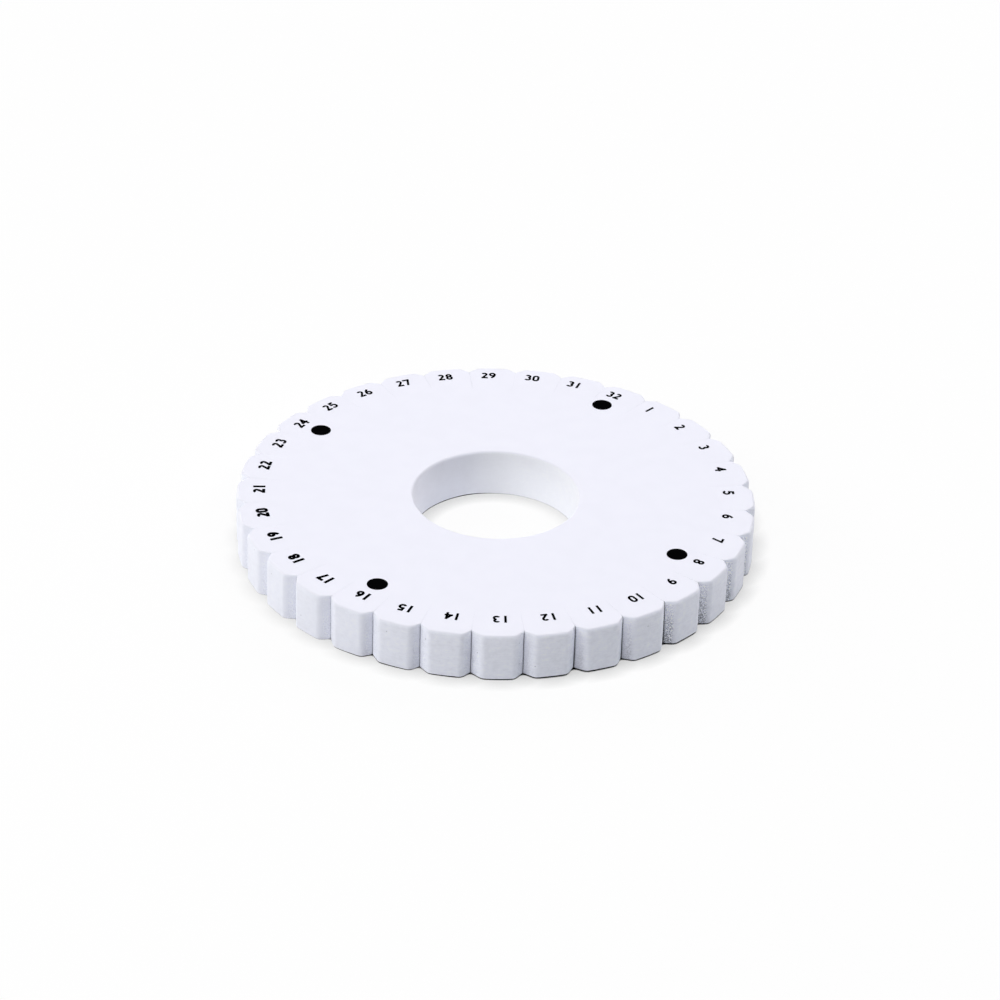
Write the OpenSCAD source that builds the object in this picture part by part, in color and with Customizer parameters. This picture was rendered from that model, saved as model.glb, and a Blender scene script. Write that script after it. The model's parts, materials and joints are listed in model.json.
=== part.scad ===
// Kumihimo disk: a braiding disk cut from one sheet of dense foam, with a slotted rim,
// a hole for the braid, a printed number on every tab and a printed dot at each quarter.
// The underside lies on Z = 0, the braid hole is on the Z axis and the last number is towards +Y.

/* [Foam disk] */
// Diameter over the rim
disk_d = 108; // [90:1:200]
// Thickness of the foam sheet
disk_t = 10.3; // [6:0.1:20]
// Diameter of the hole that the braid goes down through
hole_d = 34.5; // [20:0.5:50]
// Radius of the soft upper edges of the rim and the hole
upper_roll = 0.7; // [0.3:0.1:1.5]
// Radius of the crisper lower edges
lower_roll = 0.3; // [0.1:0.1:1]

/* [Thread slots] */
// Number of slots round the rim, which is also the number of tabs
slots = 32; // [16:8:48]
// Depth of a slot, from the rim to its closed end
slot_depth = 10; // [5:0.5:15]
// Width of the knife cut that grips a thread
slit_w = 0.2; // [0.1:0.05:0.6]
// Width of a slot's flared mouth at the rim
mouth_w = 4; // [2:0.1:5]
// Depth of the mouth, from the rim to where the knife cut starts
mouth_depth = 1.8; // [1:0.1:4]
// Radius of the soft upper edges along the two sides of a mouth
mouth_roll = 0.4; // [0.3:0.1:1.5]

/* [Print] */
// Thickness of the ink
ink_t = 0.05; // [0.02:0.01:0.2]
// Distance from the rim to the middle of the numbers
number_inset = 5; // [3:0.1:8]
// Height of a figure
figure_h = 2.4; // [2:0.1:4]
// Width of a round figure
figure_w = 1.5; // [1.2:0.05:2]
// Thickness of a figure's strokes
stroke_w = 0.48; // [0.2:0.02:0.6]
// Growth of the strokes where the ink lies heaviest and has spread
ink_spread = 0.2; // [0:0.02:0.3]
// Number at which the ink lies heaviest
heaviest = 19; // [1:1:48]
// Distance between the middles of two figures side by side
figure_pitch = 1.75; // [1.6:0.05:3]
// Diameter of a quarter dot
dot_d = 4.25; // [2:0.05:6]
// Distance from the rim to the middle of the quarter dots
dot_inset = 10.1; // [8:0.1:16]
// How far the print lies off the disk's centre, to the right
print_shift_x = -1; // [-2:0.1:2]
// How far the print lies off the disk's centre, towards the last number
print_shift_y = 0.9; // [-2:0.1:2]
// How far the print is turned against the tabs, counter-clockwise
print_turn = 0.8; // [-2:0.1:2]

/* [Hidden] */
$fn = 96;
rim_r = disk_d / 2;
hole_r = hole_d / 2;
slot_step = 360 / slots;
quarters = 4;
quarter = slots / quarters;
// Length by which a cutter runs past the face that it cuts
overrun = 1;
// Skeleton of a figure: the box that the middle of its strokes keeps to
frame_w = figure_w - stroke_w;
frame_h = figure_h - stroke_w;
// Radii of the upper bow of a 3 or 8, the lower bow of an 8, the bowl of a 5 and the tail of a 6
bow_r = 0.23 * frame_h;
low_bow_r = 0.26 * frame_h;
bowl_r = 0.3 * frame_h;
tail_r = 0.85 * frame_h;
// Skeleton width of a 2, which is the narrowest round figure
two_w = 0.87 * frame_w;
// Place of the upright of a 4 and of the foot of a 7, from the left
post_x = 0.75 * frame_w;
foot_x = 0.3 * frame_w;
// Height of the bar of a 4, and how far it stands out to the left of the other figures
bar_y = 0.33 * frame_h;
bar_out = 0.14 * frame_w;
// Angle at which the open end of a round stroke stops, and the one at which a 5 leaves its bowl
hook = 150;
shoulder = 130;
// Angle by which a round stroke runs on past the point where a straight one takes over
lap = 4;
// How steeply the spread of the ink dies away round the ring
spread_power = 4;

function two_figures(n) = str(n < 10 ? "0" : "", n);
function number_node(n) = str("number_", two_figures(n));
function dot_node(n) = str("dot_", two_figures(n));
function line_width(n) = stroke_w + ink_spread * pow(max(cos((n - heaviest) * slot_step), 0), spread_power);

// Half of the disk's section, with its four edges rolled
module disk_section() {
    difference() {
        translate([hole_r, 0]) square([rim_r - hole_r, disk_t]);
        edge_roll([rim_r, disk_t], [-1, -1], upper_roll);
        edge_roll([hole_r, disk_t], [1, -1], upper_roll);
        edge_roll([rim_r, 0], [-1, 1], lower_roll);
        edge_roll([hole_r, 0], [1, 1], lower_roll);
    }
}

// What is taken off a square corner to leave it round, with inward the signs that lead into the section
module edge_roll(corner, inward, radius) {
    translate(corner) difference() {
        translate((radius - overrun) * inward / 2) square(radius + overrun, center = true);
        translate(radius * inward) circle(radius);
    }
}

// One thread slot, from its closed end out through its flared mouth, along +Y
module thread_slot() {
    half_slit = slit_w / 2;
    neck = [half_slit, rim_r - mouth_depth];
    flare = [mouth_w / 2 - half_slit, mouth_depth] * (1 + overrun / mouth_depth);
    half = [[half_slit, rim_r - slot_depth], neck, neck + flare];
    other_half = [for (i = [2 : -1 : 0]) [-half[i].x, half[i].y]];
    translate([0, 0, -overrun]) linear_extrude(disk_t + 2 * overrun) polygon(concat(half, other_half));
    for (side = [0, 1]) mirror([side, 0]) mouth_lip(neck, flare);
}

// What rolls the upper and lower edge of one side of a mouth, mitred where the two sides meet
module mouth_lip(neck, flare) {
    lead = 2 * mouth_roll;
    intersection() {
        translate(neck) rotate(atan2(flare.y, flare.x)) translate([-lead, 0]) rotate([90, 0, 90])
            linear_extrude(lead + norm(flare)) {
                edge_roll([0, disk_t], [-1, -1], mouth_roll);
                edge_roll([0, 0], [-1, 1], lower_roll);
            }
        translate([0, 0, -overrun]) cube([mouth_w, rim_r + 2 * overrun, disk_t + 2 * overrun]);
    }
}

module foam_disk() {
    color("ghostwhite") difference() {
        rotate_extrude() disk_section();
        for (n = [1 : slots]) rotate(-(n + 0.5) * slot_step) thread_slot();
    }
}

// A straight stroke from a to b
module stroke(a, b) {
    run = b - a;
    translate(a) rotate(atan2(run.y, run.x)) translate([0, -$line_w / 2]) square([norm(run), $line_w]);
}

// A round stroke about a centre, counter-clockwise from one angle to another
module bend(centre, radius, from, to) {
    reach = 3 * radius;
    sides = 4;
    step = (to - from) / sides;
    translate(centre) intersection() {
        difference() {
            circle(radius + $line_w / 2);
            circle(radius - $line_w / 2);
        }
        polygon([[0, 0], for (i = [0 : sides]) reach * [cos(from + i * step), sin(from + i * step)]]);
    }
}

// A closed round stroke
module ring(centre, radius) {
    translate(centre) difference() {
        circle(radius + $line_w / 2);
        circle(radius - $line_w / 2);
    }
}

module figure_0() {
    r = frame_w / 2;
    bend([r, frame_h - r], r, 0, 180);
    bend([r, r], r, 180, 360);
    for (x = [0, frame_w]) stroke([x, r], [x, frame_h - r]);
}

module figure_1() {
    translate([frame_w / 2, 0]) stroke([0, -$line_w / 2], [0, frame_h + $line_w / 2]);
}

module figure_2() {
    r = two_w / 2;
    top = [r, frame_h - r];
    // The slanting stroke leaves the bow where its line to the foot just touches it
    slant = atan2(top.y, top.x) - asin(r / norm(top));
    leave = slant - 90;
    translate([(frame_w - two_w) / 2, 0]) {
        bend(top, r, leave - lap, hook);
        stroke([0, 0], top + r * [cos(leave), sin(leave)]);
        stroke([-$line_w / 2, 0], [two_w + $line_w / 2, 0]);
    }
}

module figure_3() {
    low_r = frame_h / 2 - bow_r;
    middle = frame_w - low_r;
    bend([middle, frame_h - bow_r], bow_r, -90, hook);
    bend([middle, low_r], low_r, -hook, 90);
}

module figure_4() {
    stroke([post_x, -$line_w / 2], [post_x, frame_h + $line_w / 2]);
    stroke([-bar_out, bar_y], [post_x, frame_h]);
    stroke([-bar_out - $line_w / 2, bar_y], [frame_w + $line_w / 2, bar_y]);
}

module figure_5() {
    bowl = [frame_w - bowl_r, bowl_r];
    start = bowl + bowl_r * [cos(shoulder), sin(shoulder)];
    head = [start.x + $line_w / 4, frame_h];
    bend(bowl, bowl_r, -hook, shoulder);
    stroke(start - [0, $line_w / 4], head);
    stroke(head - [$line_w / 2, 0], [frame_w, frame_h]);
}

module figure_6() {
    r = frame_w / 2;
    ring([r, r], r);
    bend([tail_r, r], tail_r, 180 - asin((frame_h - r) / tail_r), 180);
}

module figure_7() {
    stroke([-$line_w / 2, frame_h], [frame_w + $line_w / 2, frame_h]);
    stroke([foot_x, -$line_w / 2], [frame_w, frame_h]);
}

module figure_8() {
    middle = frame_w / 2;
    ring([middle, frame_h - bow_r], bow_r);
    ring([middle, low_bow_r], low_bow_r);
}

module figure_9() {
    translate([frame_w, frame_h]) rotate(180) figure_6();
}

module figure(value) {
    translate([-frame_w, -frame_h] / 2) {
        if (value == 0) figure_0();
        if (value == 1) figure_1();
        if (value == 2) figure_2();
        if (value == 3) figure_3();
        if (value == 4) figure_4();
        if (value == 5) figure_5();
        if (value == 6) figure_6();
        if (value == 7) figure_7();
        if (value == 8) figure_8();
        if (value == 9) figure_9();
    }
}

// Puts ink on the upper face, at a tab's middle line and a distance in from the rim
module printed(n, inset) {
    color("black") translate([print_shift_x, print_shift_y, disk_t]) rotate(print_turn - n * slot_step)
        translate([0, rim_r - inset]) linear_extrude(ink_t) children();
}

// The number of one tab, with the heads of its figures towards the rim
module tab_number(n) {
    $line_w = line_width(n);
    tens = floor(n / 10);
    printed(n, number_inset) {
        if (tens > 0) translate([-figure_pitch / 2, 0]) figure(tens);
        translate([tens > 0 ? figure_pitch / 2 : 0, 0]) figure(n % 10);
    }
}

module quarter_dot(n) {
    printed(n, dot_inset) circle(d = dot_d);
}

foam_disk();
for (n = [1 : slots]) tab_number(n);
for (q = [1 : quarters]) quarter_dot(q * quarter);
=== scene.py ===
"""A foam kumihimo disk with printed numbers, lying on a white studio floor."""
import json
import math
import random

import bpy
from mathutils import Matrix, Vector, noise


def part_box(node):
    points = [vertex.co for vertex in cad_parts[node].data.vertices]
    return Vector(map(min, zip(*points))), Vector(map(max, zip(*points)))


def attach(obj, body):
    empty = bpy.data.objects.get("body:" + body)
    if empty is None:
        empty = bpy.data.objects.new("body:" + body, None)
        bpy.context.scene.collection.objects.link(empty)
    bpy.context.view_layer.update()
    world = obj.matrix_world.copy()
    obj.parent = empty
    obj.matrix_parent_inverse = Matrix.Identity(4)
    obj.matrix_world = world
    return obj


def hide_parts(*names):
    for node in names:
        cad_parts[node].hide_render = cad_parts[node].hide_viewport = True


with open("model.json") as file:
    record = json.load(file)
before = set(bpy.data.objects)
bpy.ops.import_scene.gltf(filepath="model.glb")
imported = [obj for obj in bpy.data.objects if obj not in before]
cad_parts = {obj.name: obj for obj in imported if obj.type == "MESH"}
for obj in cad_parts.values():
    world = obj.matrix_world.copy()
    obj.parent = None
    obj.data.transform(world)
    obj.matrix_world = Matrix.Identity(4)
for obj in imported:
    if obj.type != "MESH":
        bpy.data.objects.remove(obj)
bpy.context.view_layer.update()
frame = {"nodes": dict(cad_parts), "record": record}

MM = 0.001

# Sizes of the disk in millimetres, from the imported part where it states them
disk_low, disk_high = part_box("foam_disk")
RIM_R = round((disk_high.x - disk_low.x) / 2 / MM, 1)
DISK_T = round(disk_high.z / MM, 2)
HOLE_R = next(m for m in frame["record"]["mounts"] if m["name"] == "braid_hole")["dims"]["r_mm"]
TABS = sum(name.startswith("number_") for name in frame["nodes"])
TAB_STEP = math.tau / TABS
SLOT_DEPTH = 10.0
MOUTH_W = 4.0
MOUTH_DEPTH = 1.8

# Softness of the cut foam: how far in each rounded edge reaches from its side, and how far it falls there
RIM_ROLL = Vector((0.5, 0.9))
MOUTH_ROLL = Vector((0.35, 0.9))
NECK_ROLL = Vector((0.12, 0.45))
SLIT_ROLL = Vector((0.01, 0.02))
HOLE_ROLL = Vector((0.5, 0.6))
LOWER_ROLL = Vector((1.6, 0.4))
# Radius of the upright corner between a mouth and the rim
CORNER_R = 1.7
# Half width of a knife cut at its neck, where it is least and most open, and the x between which it opens
NECK_HALF = (0.055, 0.14)
OPEN_X = (28, 48)
# Half width further in, the length over which the cut closes to it, and how it runs out at its inner end
SLIT_HALF = 0.0008
NECK_FADE = 0.3
SLIT_TAPER = 0.01
# How far the mouths and necks differ from slot to slot, and the seed for that and for the drift
MOUTH_VARIES = 0.08
NECK_VARIES = 0.01
SEED = 32
# The rim's lower edge: the direction in which it stands furthest off the floor, clockwise from the y axis, the shares
# of its roll that it has elsewhere and there, and the cosine of the angle between at which it begins to rise
LIFT_TURN = math.radians(125)
LIFT_ENDS = (0.02, 1.3)
LIFT_FROM = 0.35
# How uneven the rim's lower edge is, and where the noise that says so is read
LIFT_NOISE = 0.9
LIFT_LOOP = 4
LIFT_LEVEL = 48.6
# The hole's lower edge: the shares of its roll that it has at the left and elsewhere, and the x between which it falls
HOLE_LIFT_ENDS = (0.75, 0.03)
HOLE_LIFT_X = (-14.5, -7)
# How far the knife cuts wander off the middle of their mouths, and where the noise that says so is read
WANDER = 0.6
WANDER_LOOP = 1.2
WANDER_LEVEL = 99.53
# Foam is never cut quite true: how far its surface drifts sideways, and how often it changes
DRIFT = 0.05
DRIFT_SCALE = 0.16

# Colours of the foam's skin and of its cut faces, at the rim and in the hole, there at the left and elsewhere;
# the hole's are painted shade at its left and painted light elsewhere, where they are lighter than the rim's
SKIN_COLOUR = (0.9, 0.903, 0.998, 1)
RIM_COLOUR = (0.88, 0.9, 0.995, 1)
HOLE_SHADE_AND_LIGHT_COLOURS = ((0.87, 0.876, 0.96, 1), (0.935, 0.948, 0.998, 1))

# How strongly the cut faces are mottled at the left and right, the x between which that grows, and the hole's share
MOTTLE = (0.09, 0.22)
MOTTLE_X = (-25, 40)
HOLE_MOTTLE = 0.45
# How dark the pits are, and how strong the stipple is that the knife tore, with the x between which that sets in;
# the stipple grows towards the foot, where its darkening is painted shade
PIT_SHADE = 0.35
STIPPLE = 1.15
TORN_X = (46, 51)
# Painted shade in narrow gaps and at the foot by the floor: how dark it is where the cuts are least and most open,
# and the distance in which the gaps are looked for
GAP_SHADE = (0.42, 0.9)
GAP_REACH = 0.8
# The floor: how bright the camera sees it, how much a painted shadow takes from that close to the object, what it
# gives back to the object, and what of the lamps' own light and shadow the camera sees on it
FLOOR_GLOW = 0.9
FLOOR_DIM = 0.4
FLOOR_BOUNCE = 0.92
FLOOR_SHOWN = 0.1
# The direction from which the painted shadow on the floor seems to be cast, as though by a soft light there
PAINTED_SHADOW_LEAN = (-0.64, 0.21, 0.74)
FLOOR_HALF = 2.5

# Camera, fitted to the photograph: angles in degrees, lengths in millimetres
CAMERA_AZIMUTH = 31.99
CAMERA_ELEVATION = 31.25
CAMERA_ROLL = 1.83
CAMERA_DISTANCE = 761.6
CAMERA_LENS = 131.1
CAMERA_SENSOR = 36.0
# How far the aim lies to the right of and above a point half way up the disk
CAMERA_AIM = (0.96, 3.28)
AIM_HEIGHT = 5.0

# Soft boxes: width and distance in metres, then for each its name, azimuth and elevation in degrees, watts and colour
LIGHT_SIZE = 0.6
LIGHT_DISTANCE = 1.2
LIGHTS = (
    ("key", -38, 30, 5.1, (1.0, 1.005, 0.975)),
    ("high", -8, 58, 4.5, (1.01, 0.99, 1.0)),
    ("left_low", -88, 12, 3.4, (1.07, 1.01, 0.92)),
    ("back_left", -148, 30, 3.75, (0.98, 0.98, 1.04)),
    ("back_right", 152, 30, 3.3, (1.08, 0.99, 0.93)),
    ("right", 112, 58, 4.4, (0.95, 1.01, 1.04)),
)


def axes(azimuth, elevation):
    """Directions to the right of, above and towards a viewer at these angles."""
    a, e = math.radians(azimuth), math.radians(elevation)
    back = Vector((math.sin(a) * math.cos(e), -math.cos(a) * math.cos(e), math.sin(e)))
    right = Vector((math.cos(a), math.sin(a), 0))
    return right, back.cross(right), back


def facing(right, up, back):
    return Matrix((right, up, back)).transposed().to_4x4()


def add_object(name, data):
    thing = bpy.data.objects.new(name, data)
    bpy.context.scene.collection.objects.link(thing)
    return thing


def smooth(low, high, value):
    t = min(max((value - low) / (high - low), 0.0), 1.0)
    return t * t * (3 - 2 * t)


def rising(ends, low, high, value):
    """Goes from the first to the second of two values as another rises from low to high."""
    return ends[0] + (ends[1] - ends[0]) * smooth(low, high, value)


# The foam disk

def fall_off(distance, roll):
    """How far a rounded edge lies below its face, at a distance in from its side."""
    reach, fall = roll
    inset = 1 - max(distance, 0.0) / reach
    return fall * (1 - math.sqrt(1 - inset * inset)) if inset > 0 else 0.0


def lower_lift(turn):
    """How much of its full roll the lower edge of the rim has in a direction."""
    lift = rising(LIFT_ENDS, LIFT_FROM, 1, math.cos(turn - LIFT_TURN))
    loop = Vector((math.sin(turn) * LIFT_LOOP, math.cos(turn) * LIFT_LOOP, LIFT_LEVEL))
    return lift * (1 + LIFT_NOISE * noise.noise(loop))


class Side:
    """One side of a thread slot. Its own plan has y out along the knife cut and x off it, into the tab."""

    def __init__(self, mouth_half, depth, neck_half):
        self.neck_half = neck_half
        self.neck = Vector((neck_half, RIM_R - depth))
        self.along = (Vector((mouth_half, RIM_R)) - self.neck).normalized()
        self.inward = Vector((self.along.y, -self.along.x))
        # The rounded corner between the mouth's side and the rim
        start = self.neck + self.inward * CORNER_R
        lean = start.dot(self.along)
        self.corner_from = -lean + math.sqrt(lean ** 2 - start.length_squared + (RIM_R - CORNER_R) ** 2)
        self.corner = start + self.along * self.corner_from
        self.corner_turn = math.atan2(self.corner.x, self.corner.y)
        self.corner_sweep = self.corner.angle(-self.inward)

    def gap(self, r):
        """Half width of the knife cut at a radius."""
        from_end = r - RIM_R + SLOT_DEPTH
        open_half = SLIT_HALF + (self.neck_half - SLIT_HALF) * math.exp((r - self.neck.y) / NECK_FADE)
        return min(open_half, SLIT_TAPER * from_end)

    def edge(self, r):
        """Angle from the middle of the knife cut to the tab's edge at a radius."""
        if r <= self.neck.length:
            return math.asin(self.gap(r) / r)
        if r <= (self.neck + self.along * self.corner_from).length:
            lean = self.neck.dot(self.along)
            t = -lean + math.sqrt(lean ** 2 - self.neck.length_squared + r * r)
            p = self.neck + self.along * t
            return math.atan2(p.x, p.y)
        reach = self.corner.length
        a = (r * r - CORNER_R ** 2 + reach ** 2) / (2 * reach)
        return self.corner_turn - math.atan2(math.sqrt(max(r * r - a * a, 0)), a)

    def drop(self, r, turn, neck_roll, mouth_roll, rim_roll):
        """How far a face falls away at a point, given by its radius and its angle from the knife cut."""
        p = Vector((r * math.sin(turn), r * math.cos(turn)))
        on_side = (p - self.neck).dot(self.along) / self.corner_from
        if turn >= self.corner_turn:
            fall = fall_off(RIM_R - r, rim_roll)
        elif on_side > 1:
            out = p - self.corner
            share = min(out.angle(-self.inward, 0) / self.corner_sweep, 1)
            fall = fall_off(CORNER_R - out.length, mouth_roll.lerp(rim_roll, share))
        else:
            fall = fall_off((p - self.neck).dot(self.inward), neck_roll.lerp(mouth_roll, max(on_side, 0)))
        if r < self.neck.length:
            opening = min(1, 0.5 * (r - RIM_R + SLOT_DEPTH))
            fall = max(fall, opening * fall_off(p.x - self.gap(r), SLIT_ROLL))
        return fall


class Slot:
    """A thread slot: the angle of its knife cut, and its sides on the tabs before and after it."""

    def __init__(self, number, chance):
        middle = (number + 0.5) * TAB_STEP
        loop = Vector((math.sin(middle) * WANDER_LOOP, math.cos(middle) * WANDER_LOOP, WANDER_LEVEL))
        wander = WANDER * noise.noise(loop)
        self.angle = middle + wander / RIM_R
        depth = MOUTH_DEPTH + chance.uniform(-MOUTH_VARIES, MOUTH_VARIES)
        half = MOUTH_W / 2 + chance.uniform(-MOUTH_VARIES, MOUTH_VARIES)
        neck_half = rising(NECK_HALF, *OPEN_X, RIM_R * math.sin(middle)) + chance.uniform(-NECK_VARIES, NECK_VARIES)
        self.before = Side(half + wander, depth, neck_half)
        self.after = Side(half - wander, depth, neck_half)


class Shell:
    """Collects the corners and faces of one closed mesh, joining corners that share a place."""

    def __init__(self):
        self.points, self.faces, self.mouths, self.places = [], [], [], {}

    def point(self, r, turn, z, mouth=0.0):
        x, y = r * math.sin(turn), r * math.cos(turn)
        place = (round(x, 4), round(y, 4), round(z, 4))
        if place not in self.places:
            self.places[place] = len(self.points)
            drift = noise.noise_vector(Vector((x, y, z)) * DRIFT_SCALE) * DRIFT
            self.points.append(((x + drift.x) * MM, (y + drift.y) * MM, z * MM))
            self.mouths.append(mouth)
        return self.places[place]

    def strip(self, first, second):
        """Faces between two rows of corners; they face out to the right of a walk along the lower row."""
        for i in range(len(first) - 1):
            face = [first[i], first[i + 1], second[i + 1], second[i]]
            face = [v for j, v in enumerate(face) if v != face[j - 1]]
            if len(face) > 2:
                self.faces.append(face)


def build_foam():
    chance = random.Random(SEED)
    noise.seed_set(SEED)
    slots = [Slot(n, chance) for n in range(TABS)]
    shell = Shell()
    closed_end = RIM_R - SLOT_DEPTH
    neck = RIM_R - MOUTH_DEPTH
    # Radii of the rows on a tab, closest together at the neck of its slots and at the rim
    tab_rows = [closed_end, closed_end + 0.6, closed_end + 2, closed_end + 4, closed_end + 6, neck - 1.4, neck - 0.9,
                neck - 0.5, neck - 0.2, neck, neck + 0.2, neck + 0.45, neck + 0.75, neck + 1.05]
    tab_rows += [RIM_R - x for x in (0.65, 0.5, 0.36, 0.24, 0.15, 0.08, 0.04, 0.012, 0)]
    # Shares of a tab's width at which its columns stand, closest together at its sides
    insets = [0, 0.002, 0.006, 0.013, 0.026, 0.045, 0.07, 0.1, 0.15, 0.23, 0.33, 0.44]
    columns = insets + [1 - x for x in reversed(insets)]
    ring_rows = [HOLE_R + x for x in (0, 0.012, 0.04, 0.09, 0.17, 0.28, 0.42, 0.6, 1, 1.6, 4, 8, 13, 19, 24)]
    # Shares of a wall's height at which its rows stand, closest together at its foot to keep that crisp
    heights = [0, 0.01, 0.035] + [i / 8 for i in range(1, 9)]

    def tower(r, turn, low, high, mouth=0.0):
        return [shell.point(r, turn, low + (high - low) * h, mouth) for h in heights]

    for n in range(TABS):
        left, right = slots[n - 1].after, slots[n].before
        left_angle = slots[n - 1].angle - (math.tau if n == 0 else 0)
        right_angle = slots[n].angle
        tops, bottoms, left_side, right_side, rim_side = [], [], [], [], []
        for r in tab_rows:
            start, end = left_angle + left.edge(r), right_angle - right.edge(r)
            top_row, bottom_row = [], []
            for share in columns:
                turn = start + (end - start) * share
                sides = ((left, turn - left_angle), (right, right_angle - turn))
                high = DISK_T - max(s.drop(r, t, NECK_ROLL, MOUTH_ROLL, RIM_ROLL) for s, t in sides)
                low = max(s.drop(r, t, LOWER_ROLL, LOWER_ROLL, LOWER_ROLL) for s, t in sides)
                low *= lower_lift(turn)
                # The sides of a mouth are marked for the material, up to where they round into the rim
                on_side = share in (0, 1)
                mouth = 1 - smooth(RIM_R - 0.8, RIM_R - 0.3, r) if on_side else 0.0
                if on_side or r == RIM_R:
                    wall = tower(r, turn, low, high, mouth)
                    if share == 0:
                        left_side.append(wall)
                    if share == 1:
                        right_side.append(wall)
                    if r == RIM_R:
                        rim_side.append(wall)
                top_row.append(shell.point(r, turn, high, mouth))
                bottom_row.append(shell.point(r, turn, low, mouth))
            tops.append(top_row)
            bottoms.append(bottom_row)
        for j in range(len(tab_rows) - 1):
            shell.strip(tops[j], tops[j + 1])
            shell.strip(bottoms[j + 1], bottoms[j])
            shell.strip(left_side[j], left_side[j + 1])
            shell.strip(right_side[j + 1], right_side[j])
        for k in range(len(columns) - 1):
            shell.strip(rim_side[k], rim_side[k + 1])

        # The part of the middle ring behind this tab, from the hole to the closed ends of the slots
        tops, bottoms, hole_side = [], [], []
        turns = [left_angle + (right_angle - left_angle) * share for share in columns]
        lifts = [rising(HOLE_LIFT_ENDS, *HOLE_LIFT_X, HOLE_R * math.sin(turn)) for turn in turns]
        for r in ring_rows + [closed_end]:
            high = DISK_T - fall_off(r - HOLE_R, HOLE_ROLL)
            lows = [lift * fall_off(r - HOLE_R, LOWER_ROLL) for lift in lifts]
            tops.append([shell.point(r, turn, high) for turn in turns])
            bottoms.append([shell.point(r, turn, low) for turn, low in zip(turns, lows)])
            if r == HOLE_R:
                hole_side = [tower(r, turn, low, high) for turn, low in zip(turns, lows)]
        for j in range(len(tops) - 1):
            shell.strip(tops[j], tops[j + 1])
            shell.strip(bottoms[j + 1], bottoms[j])
        for k in range(len(columns) - 1):
            shell.strip(hole_side[k + 1], hole_side[k])

    mesh = bpy.data.meshes.new("foam")
    mesh.from_pydata(shell.points, [], shell.faces)
    mesh.polygons.foreach_set("use_smooth", [True] * len(mesh.polygons))
    mesh.attributes.new("mouth", "FLOAT", "POINT").data.foreach_set("value", shell.mouths)
    return add_object("foam", mesh)


# Materials

class Nodes:
    """The node tree of a material or world, written one node to a line."""

    def __init__(self, owner):
        owner.use_nodes = True
        self.owner = owner
        self.tree = owner.node_tree
        self.shader = self.tree.nodes.get("Principled BSDF") or self.tree.nodes["Background"]

    def add(self, kind, inputs=(), **settings):
        made = self.tree.nodes.new(kind)
        for key, value in settings.items():
            setattr(made, key, value)
        for key, value in dict(inputs).items():
            self.set(made.inputs[key], value)
        return made

    def set(self, socket, value):
        if isinstance(value, bpy.types.NodeSocket):
            self.tree.links.new(value, socket)
        else:
            socket.default_value = value

    def finish(self, **inputs):
        """Sets the shader's own inputs, whose names are given with _ for a space."""
        for key, value in inputs.items():
            self.set(self.shader.inputs[key.replace("_", " ")], value)
        return self.owner

    def maths(self, operation, *values):
        return self.add("ShaderNodeMath", dict(enumerate(values)), operation=operation).outputs[0]

    def product(self, *values):
        result = values[0]
        for value in values[1:]:
            result = self.maths("MULTIPLY", result, value)
        return result

    def ramp(self, value, low, high, to_low=0.0, to_high=1.0):
        return self.add("ShaderNodeMapRange", {"Value": value, "From Min": low, "From Max": high, "To Min": to_low,
                                               "To Max": to_high}, interpolation_type="SMOOTHSTEP").outputs[0]

    def millimetres(self, stretch=(1, 1, 1)):
        place = self.add("ShaderNodeTexCoord").outputs["Object"]
        scale = [x / MM for x in stretch]
        return self.add("ShaderNodeVectorMath", {0: place, 1: scale}, operation="MULTIPLY").outputs[0]

    def noise(self, place, scale, detail=2.0, roughness=0.5):
        return self.add("ShaderNodeTexNoise", {"Vector": place, "Scale": scale, "Detail": detail,
                                               "Roughness": roughness}).outputs["Fac"]

    def hidden(self, distance, normal=None, samples=6):
        """How much of the view from a point is blocked within a distance in millimetres."""
        inputs = {"Distance": distance * MM}
        if normal:
            inputs["Normal"] = self.add("ShaderNodeCombineXYZ", dict(enumerate(normal))).outputs[0]
        in_view = self.add("ShaderNodeAmbientOcclusion", inputs, samples=samples).outputs["AO"]
        return self.maths("SUBTRACT", 1.0, in_view)

    def mix(self, factor, first, second):
        """Goes from one colour to another."""
        return self.add("ShaderNodeMix", {0: factor, 6: first, 7: second}, data_type="RGBA").outputs[2]

    def tint(self, colour, factor):
        """A colour with every part of it multiplied by a value."""
        return self.add("ShaderNodeVectorMath", {0: colour, 1: factor}, operation="MULTIPLY").outputs[0]

    def seen(self):
        """1 for rays from the camera, in reflections and through glass, and 0 for those that carry light."""
        path = self.add("ShaderNodeLightPath").outputs
        mirrored = self.maths("MAXIMUM", path["Is Glossy Ray"], path["Is Transmission Ray"])
        return self.maths("MAXIMUM", path["Is Camera Ray"], mirrored)


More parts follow.
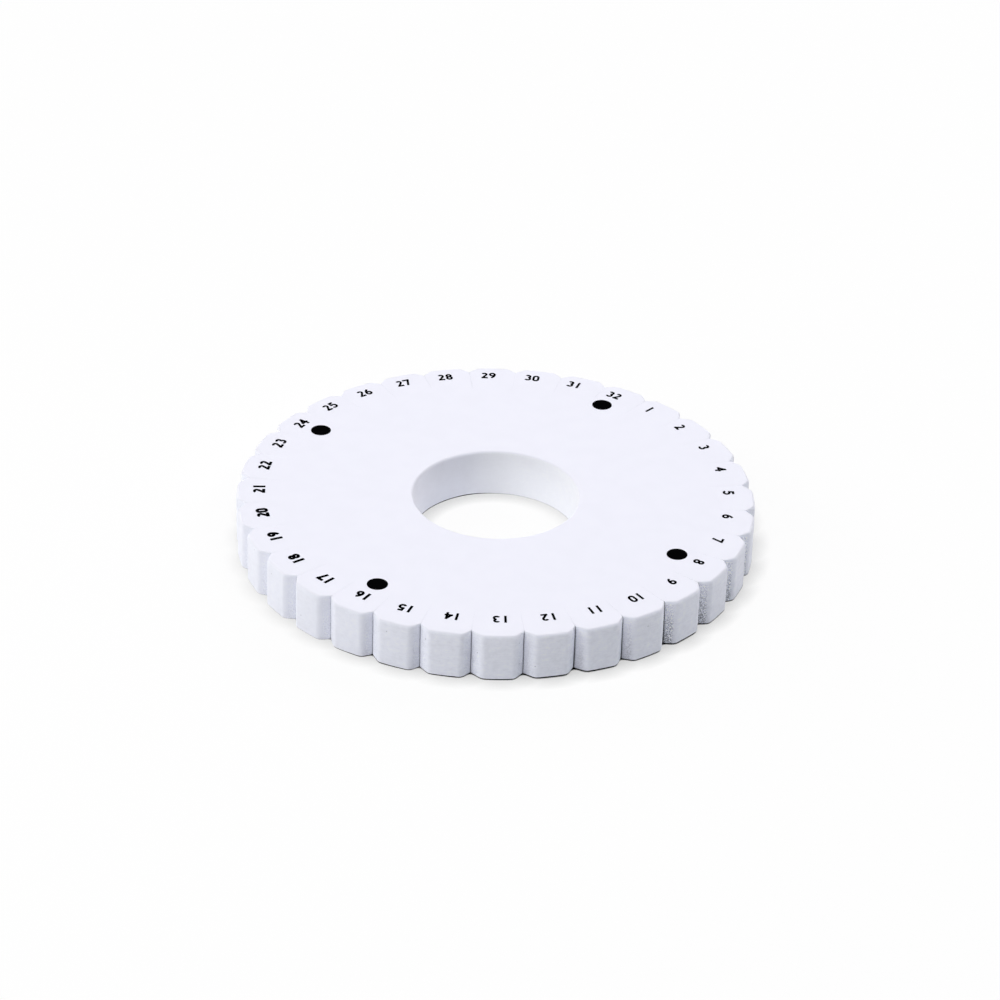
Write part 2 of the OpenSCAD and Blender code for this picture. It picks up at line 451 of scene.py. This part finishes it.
def foam_material():
    n = Nodes(bpy.data.materials.new("foam"))
    place = n.millimetres()
    normal = n.add("ShaderNodeNewGeometry").outputs["Normal"]
    upright = n.add("ShaderNodeSeparateXYZ", {0: normal}).outputs["Z"]
    side = n.ramp(n.maths("ABSOLUTE", upright), 0.9, 0.35)
    mouth = n.add("ShaderNodeAttribute", attribute_name="mouth").outputs["Fac"]
    where = n.add("ShaderNodeSeparateXYZ", {0: place}).outputs
    foot = n.ramp(where["Z"], 9, 1)
    cells = n.add("ShaderNodeTexVoronoi", {"Vector": place, "Scale": 3.5}).outputs["Distance"]
    grain = n.noise(place, 3.0, 3.0, 0.6)
    mottle = n.noise(place, 0.9, 3.0, 0.6)
    streaks = n.noise(n.millimetres((0.5, 0.5, 4.0)), 1.0, 3.0)
    cloud = n.noise(place, 0.22, 2.0)
    spots = n.add("ShaderNodeTexVoronoi", {"Vector": place, "Scale": 0.42})
    chosen = n.ramp(n.add("ShaderNodeSeparateXYZ", {0: spots.outputs["Color"]}).outputs["X"], 0.7, 0.72)
    from_axis = n.add("ShaderNodeVectorMath", {0: n.millimetres((1, 1, 0))}, operation="LENGTH").outputs["Value"]
    at_rim = n.ramp(from_axis, 30, 40)
    pits = n.product(n.ramp(spots.outputs["Distance"], 0.085, 0.03), chosen, side, at_rim)

    shade = n.ramp(cloud, 0.25, 0.75, 0.993, 1.007)
    shade = n.product(shade, n.maths("SUBTRACT", 1.0, n.product(pits, PIT_SHADE)))
    blotch = n.maths("ADD", n.maths("SUBTRACT", mottle, 0.5), n.product(n.maths("SUBTRACT", streaks, 0.5), 0.6))
    uneven = n.product(n.ramp(where["X"], *MOTTLE_X, *MOTTLE), n.ramp(at_rim, 0, 1, HOLE_MOTTLE, 1))
    shade = n.maths("ADD", shade, n.product(blotch, side, uneven))
    # The cuts stand further open at one side of the disk, where more shade is painted, and the knife tore the foam
    # there
    opened = n.ramp(where["X"], *OPEN_X)
    torn = n.ramp(where["X"], *TORN_X, 0.15, 1)
    in_mouth = n.product(mouth, side)
    # Torn stipple, stronger towards the foot, where its darker mean is painted shade
    stipple_and_shade = n.product(n.maths("SUBTRACT", cells, 0.55), in_mouth, torn, n.maths("ADD", 0.6, foot))
    shade = n.maths("ADD", shade, n.product(stipple_and_shade, STIPPLE))
    # Painted light and shade on the mouths' sides where the cuts open: a little lighter near the top, darker towards
    # the foot
    mouth_light_and_shade = n.product(n.maths("SUBTRACT", 0.03, n.product(foot, 0.13)), in_mouth, opened)
    shade = n.product(shade, n.maths("ADD", 1.0, mouth_light_and_shade))
    # Painted shade in the gaps and at the foot by the floor, by how much is blocked close by, deeper towards the foot
    # where the cuts open and where the foam is torn
    deeper_shade = n.maths("ADD", n.product(foot, opened, 0.2), n.product(torn, 0.08))
    gap = n.ramp(n.maths("ADD", n.hidden(GAP_REACH), deeper_shade), 0.5, 0.8)
    shade = n.product(shade, n.maths("SUBTRACT", 1.0, n.product(gap, n.ramp(opened, 0, 1, *GAP_SHADE))))

    # Heights in millimetres
    skin = n.product(grain, 0.012)
    cut_face = n.maths("ADD", n.product(cells, 0.03), n.product(streaks, 0.02))
    cut_face = n.maths("ADD", cut_face, n.product(stipple_and_shade, 0.15))
    cut_face = n.maths("SUBTRACT", cut_face, n.product(pits, 0.08))
    height = n.add("ShaderNodeMix", {"Factor": side, 2: skin, 3: cut_face}).outputs[0]
    bump = n.add("ShaderNodeBump", {"Height": height, "Distance": MM, "Strength": 0.7}).outputs[0]
    # The hole's wall gets painted shade at its left and painted light elsewhere
    hole_shade_and_light_colour = n.mix(n.ramp(where["X"], -HOLE_R, -8), *HOLE_SHADE_AND_LIGHT_COLOURS)
    cut_colour = n.mix(at_rim, hole_shade_and_light_colour, RIM_COLOUR)
    colour = n.mix(side, SKIN_COLOUR, cut_colour)
    return n.finish(Base_Color=n.tint(colour, shade), Roughness=n.ramp(side, 0, 1, 0.6, 0.85),
                    Specular_IOR_Level=0.3, Normal=bump)


def ink_material():
    n = Nodes(bpy.data.materials.new("ink"))
    thin = n.ramp(n.noise(n.millimetres(), 5.0, 3.0, 0.6), 0.55, 0.85)
    strength = n.maths("ADD", 0.1, n.product(thin, 0.6))
    return n.finish(Base_Color=n.tint((0.015, 0.015, 0.018), strength), Roughness=n.ramp(thin, 0, 1, 0.6, 0.8),
                    Specular_IOR_Level=0.0)


def floor_material():
    """White to the camera, with a little of the lights' own shadow, a painted shadow close to the object, and painted
    darkness in the gap under the object's lifted edge.
    """
    n = Nodes(bpy.data.materials.new("floor"))
    seen = n.seen()
    # Painted shadow: the floor goes black where little of its view is open, under the object's lifted edge
    clear = n.ramp(n.hidden(1, samples=16), 0.55, 0.75, 1, 0)
    # Painted shadow: the floor's glow is dimmed where the object blocks its view, leaning one way
    shadowed_glow = n.maths("SUBTRACT", FLOOR_GLOW, n.product(n.hidden(4, PAINTED_SHADOW_LEAN), FLOOR_DIM))
    base = n.maths("SUBTRACT", FLOOR_BOUNCE, n.product(seen, FLOOR_BOUNCE - FLOOR_SHOWN))
    base = n.product(base, clear)
    return n.finish(Base_Color=n.tint((1.0, 1.0, 1.0), base), Roughness=0.9, Specular_IOR_Level=0.0,
                    Emission_Color=(1, 1, 1, 1), Emission_Strength=n.product(seen, shadowed_glow, clear))


# The set

def make_world():
    n = Nodes(bpy.data.worlds.new("world"))
    bpy.context.scene.world = n.finish(Color=(1, 1, 1, 1), Strength=n.seen())


def make_camera():
    right, up, back = axes(CAMERA_AZIMUTH, CAMERA_ELEVATION)
    r = math.radians(CAMERA_ROLL)
    right, up = right * math.cos(r) + up * math.sin(r), up * math.cos(r) - right * math.sin(r)
    aim = Vector((0, 0, AIM_HEIGHT)) + right * CAMERA_AIM[0] + up * CAMERA_AIM[1]
    data = bpy.data.cameras.new("camera")
    data.lens = CAMERA_LENS
    data.sensor_width = CAMERA_SENSOR
    data.clip_start = 0.01
    camera = add_object("camera", data)
    camera.matrix_world = Matrix.Translation((aim + back * CAMERA_DISTANCE) * MM) @ facing(right, up, back)
    bpy.context.scene.camera = camera


def make_light(name, azimuth, elevation, power, colour):
    data = bpy.data.lights.new(name, "AREA")
    data.size = LIGHT_SIZE
    data.energy = power
    data.color = colour
    directions = axes(azimuth, elevation)
    add_object(name, data).matrix_world = Matrix.Translation(directions[2] * LIGHT_DISTANCE) @ facing(*directions)


def make_floor():
    mesh = bpy.data.meshes.new("floor")
    corners = [(x * FLOOR_HALF, y * FLOOR_HALF, 0) for x, y in ((-1, -1), (1, -1), (1, 1), (-1, 1))]
    mesh.from_pydata(corners, [], [(0, 1, 2, 3)])
    mesh.materials.append(floor_material())
    add_object("floor", mesh)


make_world()
make_camera()
make_floor()
for light in LIGHTS:
    make_light(*light)

foam = build_foam()
foam.data.materials.append(foam_material())
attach(foam, "root")
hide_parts("foam_disk")

ink = ink_material()
for name, piece in frame["nodes"].items():
    if name != "foam_disk":
        piece.data.materials.clear()
        piece.data.materials.append(ink)

bpy.context.scene.view_settings.view_transform = "Standard"
